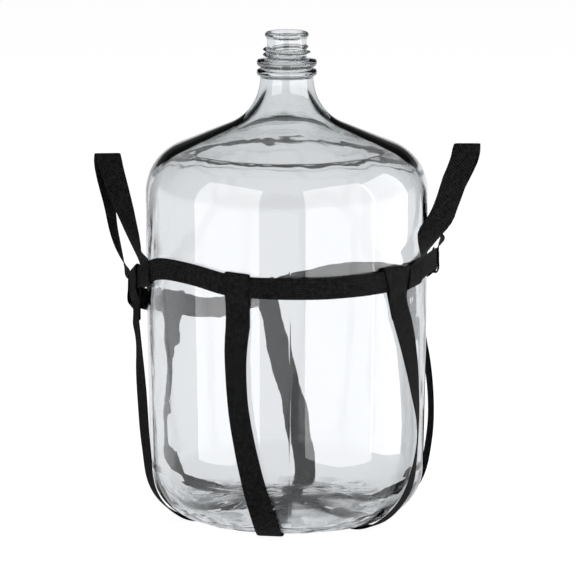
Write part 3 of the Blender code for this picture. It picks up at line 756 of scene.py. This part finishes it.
def strap(name, centres, widths, width, seed):
    """A woven strap and its length: ribs on its faces, the weft's turns along its selvedges."""
    path, wide = fine(centres, widths, RIB_PITCH / RIB_STEPS)
    runs = np.gradient(path, axis=0)
    runs /= np.linalg.norm(runs, axis=1)[:, None]
    wide /= np.linalg.norm(wide, axis=1)[:, None]
    skew = np.sum(runs * wide, axis=1)
    out = np.cross(wide, runs)
    out /= np.linalg.norm(out, axis=1)[:, None]
    wide /= np.sqrt(1 - skew**2)[:, None]
    along = np.concatenate([[0], np.cumsum(np.linalg.norm(np.diff(path, axis=0), axis=1))])

    half, thick = width / 2, WEB_THICKNESS / 2
    even = np.linspace(-1, 1, ACROSS)
    u = np.sin(even * math.pi / 2 * CROWDING) / math.sin(math.pi / 2 * CROWDING)
    u = np.sign(u) * (CROWDED * np.abs(u) + (1 - CROWDED) * np.abs(even))
    edge = np.sqrt(np.clip(1 - np.abs(u) ** EDGE_POWER, 0, 1))
    body = thick * (EDGE_THICKNESS[0] + EDGE_THICKNESS[1] * edge)
    reaches = u * half
    points, notes = [], []
    for i, centre in enumerate(path):
        s = along[i]
        phase = 2 * math.pi * s / RIB_PITCH
        waver = noise.noise(Vector((s * WIDTH_SCALE, seed * WIDTH_SEED, 0.0))) * WIDTH_STRAY
        swell = 1 + EDGE_WAVE / half * math.cos(phase) + waver / half
        for side, turn, layer in ((1, 0, seed), (-1, math.pi, seed + 0.5)):
            for j in range(ACROSS)[::side]:
                here = Vector((s * RIB_SCALE[0], u[j] * RIB_SCALE[1], seed * RIB_SEED + side))
                rib = math.cos(phase + turn + RIB_STRAY * noise.noise(here))
                lift = body[j] + RIB_HEIGHT * (rib - RIB_SINK) * edge[j]
                reach = reaches[j] * swell * (1.0 if edge[j] > EDGE_FLOOR else EDGE_OUT)
                points.append(centre + wide[i] * reach + out[i] * (side * lift))
                notes.append((reaches[j], s, layer))
    ring = 2 * ACROSS
    faces = skin(0, len(path), ring)
    for k in (0, (len(path) - 1) * ring):
        faces += [(k + j, k + j + 1, k + ring - 2 - j, k + ring - 1 - j) for j in range(ACROSS - 1)]
    piece = finished(name, points, faces, WEBBING, SHARP_ANGLE)
    layer = piece.data.attributes.new("weave", "FLOAT_VECTOR", "POINT")
    layer.data.foreach_set("vector", np.array(notes, np.float32).ravel())
    return piece, float(along[-1])


def threads(name, runs):
    """Sewing thread as short bowed stitches, each given by its two ends and the way out."""
    points, faces = [], []
    for start, end, out in runs:
        side = np.cross(unit(end - start), out)
        base = len(points)
        for t in np.arange(SEWING_STEPS + 1) / SEWING_STEPS:
            bow = math.sin(math.pi * t)
            rise = bow ** SEWING_BOW[1] * SEWING_BOW[0] - SEWING_SUNK
            thin = SEWING_RADIUS * (SEWING_TAPER[0] + SEWING_TAPER[1] * bow ** SEWING_TAPER[2])
            centre = start + (end - start) * t + out * rise
            for j in range(SEWING_SIDES):
                a = 2 * math.pi * j / SEWING_SIDES
                points.append(centre + side * thin * math.cos(a) + out * thin * math.sin(a))
        faces += skin(base, SEWING_STEPS + 1, SEWING_SIDES)
        for first in (base, base + SEWING_STEPS * SEWING_SIDES):
            faces.append(tuple(range(first, first + SEWING_SIDES)))
    return finished(name, points, faces, THREAD)


def box_stitch(name, centre, up, out, side):
    """A square of stitches with a cross in it, lying on a strap's face."""
    up, out = unit(up), unit(out)
    across = np.cross(up, out)
    face = np.asarray(centre) + out * (WEB_THICKNESS / 2 + SEWING_PROUD)
    half = side / 2
    corners = [np.array(c) * half for c in ((-1, -1), (1, -1), (1, 1), (-1, 1))]
    lines = [(corners[i], corners[(i + 1) % 4]) for i in range(4)]
    lines += [(corners[0], corners[2]), (corners[1], corners[3])]
    runs = []
    for a, b in lines:
        count = round(np.linalg.norm(b - a) / SEWING_PITCH)
        for k in range(count):
            ends = [a + (b - a) * (k + part) / count for part in SEWING_SPAN]
            runs.append((*(face + across * x + up * y for x, y in ends), out))
    piece = threads(f"{name}_thread", runs)
    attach(piece, "carrier")
    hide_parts(name)


# ---------------------------------------------------------------- the bottle
def settled(points, corner):
    """An inside outline as an array, and how far its fold pushes each point out and up."""
    points = np.array(points)
    steps = np.linalg.norm(np.diff(points, axis=0), axis=1)
    along = np.concatenate([[0], np.cumsum(steps)])
    along -= along[np.argmin(np.linalg.norm(points - corner, axis=1))]
    run = np.gradient(points, axis=0)
    run /= np.linalg.norm(run, axis=1)[:, None]
    places, extra = np.array(FOLD).T / 1000
    lift = np.mean([np.interp(along + d, places, extra)
                    for d in np.linspace(-FOLD_SOFTNESS, FOLD_SOFTNESS, 7)], axis=0)
    return points, np.stack([-run[:, 1], run[:, 0]], axis=1) * lift[:, None]


def thread_lift(angle, z):
    """How far the helical thread stands out at an angle (0 at +X) and height."""
    turns = (THREAD_HIGH - z) / THREAD_PITCH
    nearest = round(turns - angle / (2 * math.pi)) + angle / (2 * math.pi)
    crest = THREAD_HIGH - nearest * THREAD_PITCH
    low, high = THREAD_LOW - THREAD_OVERRUN, THREAD_HIGH + THREAD_OVERRUN
    if not low <= crest <= high:
        return 0.0
    ease = min(1.0, (crest - low) / THREAD_FADE, (high - crest) / THREAD_FADE)
    away = min(abs(z - crest) / THREAD_HALF, 1.0)
    return THREAD_DEPTH * ease * max(0.0, math.cos(away * math.pi / 2)) ** THREAD_ROUNDING


def neck_ring(centre):
    """One rounded ring round the neck, from its top to its bottom."""
    depth = RING_RADIUS - GROOVE_RADIUS
    return [(GROOVE_RADIUS + depth * max(math.cos(a), 0) ** RING_ROUNDING,
             centre + RING_HALF * math.sin(a))
            for a in np.linspace(math.pi / 2, -math.pi / 2, RING_STEPS + 1)]


def bottle_outside():
    """Radius and height down the outside, from the lip's flat top to the middle of the base."""
    bead = (LIP_RADIUS - LIP_HEIGHT / 2, HEIGHT - LIP_HEIGHT / 2)
    points = [(BORE_RADIUS + out, HEIGHT - down) for out, down in LIP_EDGE]
    points += [(LIP_FLAT[0], HEIGHT), (LIP_FLAT[1] - LIP_EASE, HEIGHT)]
    points += arc(bead, LIP_HEIGHT / 2, LIP_SWEEP, -LIP_SWEEP, LIP_STEPS)
    points += [(FINISH_RADIUS + LIP_FOOT[0], HEIGHT - LIP_HEIGHT - LIP_FOOT[1])]
    finish = np.arange(HEIGHT - LIP_HEIGHT - FINISH_TOP, THREAD_LOW - THREAD_HALF,
                       -THREAD_PITCH / THREAD_STEPS)
    points += [(FINISH_RADIUS, z) for z in finish]
    points += neck_ring(RING_HEIGHTS[1]) + neck_ring(RING_HEIGHTS[0])
    points += arc(fillet_centre(NECK_FILLET, NECK_RADIUS, 0), NECK_FILLET, math.pi,
                  3 * math.pi / 2 - SHOULDER_SLOPE, ARC_STEPS)
    points += between(points[-1], shoulder_end(SHOULDER_RADIUS, BODY_RADIUS, 0), SHOULDER_STEPS)
    corner = shoulder_centre(SHOULDER_RADIUS, BODY_RADIUS, 0)
    points += arc(corner, SHOULDER_RADIUS, math.pi / 2 - SHOULDER_SLOPE, 0, ARC_STEPS)
    heights = np.linspace(corner[1], HEEL_RADIUS, WALL_STEPS + 1)[1:-1]
    points += [(wall_radius(z), z) for z in heights]
    points += arc((BEARING_RADIUS, HEEL_RADIUS), HEEL_RADIUS, 0, -math.pi / 2, HEEL_STEPS)
    radii, heights = zip((0.0, PUSH_UP), *PUSH_UP_OUTLINE[::-1], points[-1])
    points += [(r, float(np.interp(r, radii, heights)))
               for r in np.linspace(BEARING_RADIUS - BEARING_MARGIN, AXIS_MARGIN, FLOOR_STEPS + 1)]
    return points


def bottle_inside():
    """Radius and height up the inside, from the middle of the floor to the lip."""
    floor = PUSH_UP + FLOOR_THICKNESS
    heel = HEEL_INSIDE_RADIUS
    edge = wall_radius(HEEL_RADIUS) - WALL - HEEL_THINNING - heel
    base = [(0.0, floor)] + [(r, floor - drop) for r, drop in FLOOR_OUTLINE]
    base += [(edge - FLOOR_EDGE[0], floor - FLOOR_EDGE[1]), (edge, FLOOR_LOW)]
    radii, heights = zip(*base)
    points = [(r, float(np.interp(r, radii, heights)))
              for r in np.linspace(AXIS_MARGIN, edge - HEEL_MARGIN, FLOOR_STEPS + 1)]
    points += arc((edge, heel + FLOOR_LOW), heel, -math.pi / 2, 0, INNER_ARC_STEPS)
    corner = shoulder_centre(SHOULDER_RADIUS - WALL, BODY_RADIUS - WALL, SHOULDER_WALL)
    heights = np.linspace(heel + FLOOR_THICKNESS, corner[1], WALL_STEPS + 1)[1:-1]
    points += [(wall_radius(z) - WALL, z) for z in heights]
    points += arc(corner, SHOULDER_RADIUS - WALL, 0, math.pi / 2 - SHOULDER_SLOPE, INNER_ARC_STEPS)
    fillet = arc(fillet_centre(NECK_BORE_FILLET, NECK_BORE, SHOULDER_WALL), NECK_BORE_FILLET,
                 3 * math.pi / 2 - SHOULDER_SLOPE, math.pi, ARC_STEPS)
    points += between(points[-1], fillet[0], INNER_SHOULDER_STEPS) + fillet
    top = RING_HEIGHTS[1] - NECK_BORE_TOP
    points += [(NECK_BORE, z) for z in np.linspace(points[-1][1], top, 6)[1:]]
    points += [(NECK_BORE + (BORE_RADIUS - NECK_BORE) * t**2 * (3 - 2 * t),
                top + (THREAD_LOW - top) * t) for t in np.linspace(0, 1, 9)[1:]]
    points += [(BORE_RADIUS, z) for z in np.linspace(THREAD_LOW, HEIGHT - BORE_TOP, 14)[1:]]
    return points


def waves(x, y, z, shape, ripples=None):
    """Unevenness of the glass at a point: waves of a given shape, and ripples on them."""
    across, up, start, size = shape
    here = Vector((x * across, y * across, z * up + start))
    rise = noise.noise(here) * size
    return rise + noise.noise(here * ripples[0]) * ripples[1] if ripples else rise


def wave_share(r, z):
    """How much of the waves is left towards the axis and up the neck, from 0 to 1."""
    top, depth = NECK_FADE
    return min(1.0, r / AXIS_FADE) * min(1.0, max(0.0, (top - z) / depth))


def inner_point(angle, r, z, push):
    """Radius and height of the inside at an angle, its fold pushed out at the rear."""
    c, s = math.cos(angle), math.sin(angle)
    x, y, share = c * r, s * r, wave_share(r, z)
    if r < FLOOR_LIMITS[0] and z < FLOOR_LIMITS[1]:
        radius = r
        height = z + share * (waves(x, y, z, FLOOR_WAVES) + waves(x, y, z, FLOOR_RIPPLES))
        height += FLOOR_RIM_HEIGHT * math.exp(-(((r - FLOOR_RIM_RADIUS) / FLOOR_RIM_WIDTH) ** 2))
    else:
        swell = waves(x, y, z, INNER_WAVES, INNER_RIPPLES) + waves(x, y, z, INNER_GRAIN)
        radius, height = r + swell * share, z
    rear = min(max(s * FOLD_REAR[0] + FOLD_REAR[1], 0.0), 1.0)
    out, up = push * rear * (1 + waves(c, s, 0, FOLD_WAVES))
    return radius + out, height + up


def outer_point(angle, r, z):
    """Radius and height of the outside at an angle, with the thread and the mould's seams."""
    x, y, share = math.cos(angle) * r, math.sin(angle) * r, wave_share(r, z)
    if r < BEARING_RADIUS and z < UNDERSIDE_TOP:
        return r, z + share * waves(x, y, z, UNDERSIDE_RIPPLES)
    radius = r + waves(x, y, z, OUTER_WAVES, OUTER_RIPPLES) * share
    if r == FINISH_RADIUS:
        radius += thread_lift(angle % (2 * math.pi), z)
    if UNDERSIDE_TOP < z < SEAM_TOP:
        for seam in SEAM_AZIMUTHS:
            off = (angle - math.radians(seam - 90) + math.pi) % (2 * math.pi) - math.pi
            radius += SEAM_HEIGHT * math.exp(-((off * r / SEAM_HALF) ** 2))
    return radius, z


def bottle():
    """The turned glass wall, with the ripples, seams and thread of a moulded bottle."""
    azimuths = set(np.linspace(0, 360, ROUND, endpoint=False))
    azimuths |= {seam + away for seam in SEAM_AZIMUTHS for away in SEAM_POINTS}
    angles = np.radians(np.array(sorted(azimuths)) - 90)  # from an azimuth to an angle from +X
    count = len(angles)
    outside = bottle_outside()
    inside = zip(*settled(bottle_inside(),
                          shoulder_end(SHOULDER_RADIUS - WALL, BODY_RADIUS - WALL, SHOULDER_WALL)))
    rings = [[outer_point(a, r, z) for a in angles] for r, z in outside]
    rings += [[inner_point(a, r, z, push) for a in angles] for (r, z), push in inside]
    points = [(radius * math.cos(a), radius * math.sin(a), max(height, 0.0) + STAND)
              for ring in rings for a, (radius, height) in zip(angles, ring)]
    faces = []
    for k in range(len(rings)):
        if k + 1 == len(outside):
            continue  # the middle of the underside and the middle of the floor are each closed
        a, b = k * count, ((k + 1) % len(rings)) * count
        faces += [(a + i, a + (i + 1) % count, b + (i + 1) % count, b + i) for i in range(count)]
    for k, z in ((len(outside) - 1, PUSH_UP), (len(outside), PUSH_UP + FLOOR_THICKNESS)):
        middle = len(points)
        points.append((0, 0, z + STAND))
        faces += [(k * count + i, k * count + (i + 1) % count, middle) for i in range(count)]
    piece = finished("carboy", points, faces, GLASS)
    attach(piece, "carboy")
    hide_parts("glass_carboy")


# ---------------------------------------------------------------- materials
def glass_look():
    """Clear soda-lime glass, faintly grey-green in depth; its polish is slightly uneven."""
    made, tree, shader = new_material("clear_glass")
    fill(shader, {"Base Color": WHITE, "Transmission Weight": 1.0, "IOR": 1.5, "Metallic": 0.0})
    polish = mapped(tree, speckle(tree, scale=38, detail=3), (0.35, 0.75), (0.0, 0.035))
    place = node(tree, "ShaderNodeTexCoord")
    height = coordinates(tree, place.outputs["Object"])["Z"]
    low = mapped(tree, height, (CHILL_TOP - CHILL_FADE, CHILL_TOP), (1.0, 0.0))
    patches = mapped(tree, speckle(tree, scale=45, detail=3), (0.46, 0.56), (0.02, 0.60))
    rough = maths(tree, "MAXIMUM", polish, maths(tree, "MULTIPLY", low, patches))
    tree.links.new(rough, shader.inputs["Roughness"])
    emboss(tree, shader, speckle(tree, scale=95, detail=2), strength=0.05, distance=0.0006)
    tint = fill(node(tree, "ShaderNodeVolumeAbsorption"),
                {"Color": (0.267, 0.345, 0.350, 1), "Density": 25.0})
    tree.links.new(tint.outputs[0], material_output(tree).inputs["Volume"])
    return made


def webbing_look():
    """Black polypropylene webbing: flat yarns over and under each rib, dull with a dusty nap;
    painted highlight on raised yarns, painted shade in their dips, a mottle of wear and painted
    sheen.
    """
    made, tree, shader = new_material("black_webbing")
    weave = node(tree, "ShaderNodeAttribute", attribute_name="weave")
    place = coordinates(tree, weave.outputs["Vector"])
    yarn = maths(tree, "MULTIPLY", place["X"], math.pi / YARN_PITCH)
    yarn_wave = maths(tree, "ABSOLUTE", maths(tree, "SINE", yarn))
    column = maths(tree, "FLOOR", maths(tree, "MULTIPLY", place["X"], 1 / YARN_PITCH))
    shift = maths(tree, "MULTIPLY", column, YARN_SHIFT)
    run = maths(tree, "ADD", maths(tree, "MULTIPLY", place["Y"], 1 / RIB_PITCH), shift)
    rib_wave = maths(tree, "ABSOLUTE", maths(tree, "SINE", maths(tree, "MULTIPLY", run, math.pi)))
    rib_depth = maths(tree, "ADD", maths(tree, "MULTIPLY", rib_wave, RIB_DIP), 1 - RIB_DIP)
    height = maths(tree, "MULTIPLY", maths(tree, "POWER", yarn_wave, YARN_FLATNESS), rib_depth)
    fuzz = speckle(tree, scale=900, detail=3)
    # A mottle, partly dust and wear, partly painted sheen; it lightens the colour and varies the
    # roughness
    wear_and_sheen = speckle(tree, scale=300, detail=4)
    relief = maths(tree, "ADD", height, maths(tree, "MULTIPLY", fuzz, NAP))
    emboss(tree, shader, relief, strength=0.8, distance=0.00030)
    # Colour: lighter with a yarn's height, a painted highlight with painted shade in the dips, and
    # lighter in the mottle, partly wear and partly painted sheen
    tone = maths(tree, "ADD", maths(tree, "MULTIPLY", height, PAINTED_YARN_HIGHLIGHT),
                 maths(tree, "MULTIPLY", wear_and_sheen, WEAR_AND_SHEEN_TONE))
    shade(tree, shader, tone, (0.44, (0.0006, 0.0006, 0.0007)), (0.72, (0.0260, 0.0260, 0.0270)))
    tree.links.new(mapped(tree, wear_and_sheen, (0, 1), (0.62, 0.9)), shader.inputs["Roughness"])
    fill(shader, {"Specular IOR Level": 0.02})
    return made


def thread_look():
    """Bonded sewing thread, its two plies wound round each other."""
    made, tree, shader = new_material("black_thread")
    ply = speckle(tree, scale=2600, detail=2)
    shade(tree, shader, ply, (0.3, (0.004, 0.004, 0.0044)), (0.8, (0.018, 0.018, 0.019)))
    emboss(tree, shader, ply, strength=0.5, distance=0.0001)
    fill(shader, {"Roughness": 0.7, "Specular IOR Level": 0.08})
    return made


# ---------------------------------------------------------------- assembly
scene = bpy.context.scene
scene.view_settings.view_transform = "Standard"
camera_view(scene)
surround(scene)
paper_floor(scene)
lamps(scene)
GLASS, WEBBING, THREAD = glass_look(), webbing_look(), thread_look()

bottle()

piece, length = strap("belt_webbing", *belt_rows(), BELT_WIDTH, 1)
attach(piece, "carrier")
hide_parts("belt")

for order, name in enumerate(BASE_STRAPS):
    piece, length = strap(f"{name}_webbing", *base_strap_rows(name), WEB_WIDTH, 2 + order)
    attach(piece, "carrier")
    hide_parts(name)

for order, (name, (ends, route)) in enumerate(HANDLES.items()):
    places, bends, axis = bend_points(ends)
    piece, length = strap(f"{name}_webbing", *handle_rows(name), WEB_WIDTH, 6 + order)
    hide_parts(name, f"{name}_front_end", f"{name}_rear_end")
    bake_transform(piece)
    for end, place in zip(("front", "rear"), places):
        centre = place.at(0, place.front)
        box_stitch(f"stitch_{name}_{end}", centre, place.up, place.out, TAB_STITCH)

for name in RISERS:
    place = riser(name)[2]
    centre = place.at(-place.reach - SEW_DROP - SEW_LENGTH / 2, place.back + LAYER)
    box_stitch(f"stitch_riser_{name}", centre, place.up, place.out, STITCH_SIDE)
lap = BeltPlace(LAP_AZIMUTH + LAP_DEGREES / 2, 0.0)
box_stitch("stitch_belt_lap", lap.at(0, lap.front), lap.up, lap.out, TAB_STITCH)
top = np.array([0, 0, WEB_THICKNESS / 2 + 2 * LAYER])
box_stitch("stitch_base_cross", top, (0, 1, 0), (0, 0, 1), CROSS_STITCH)
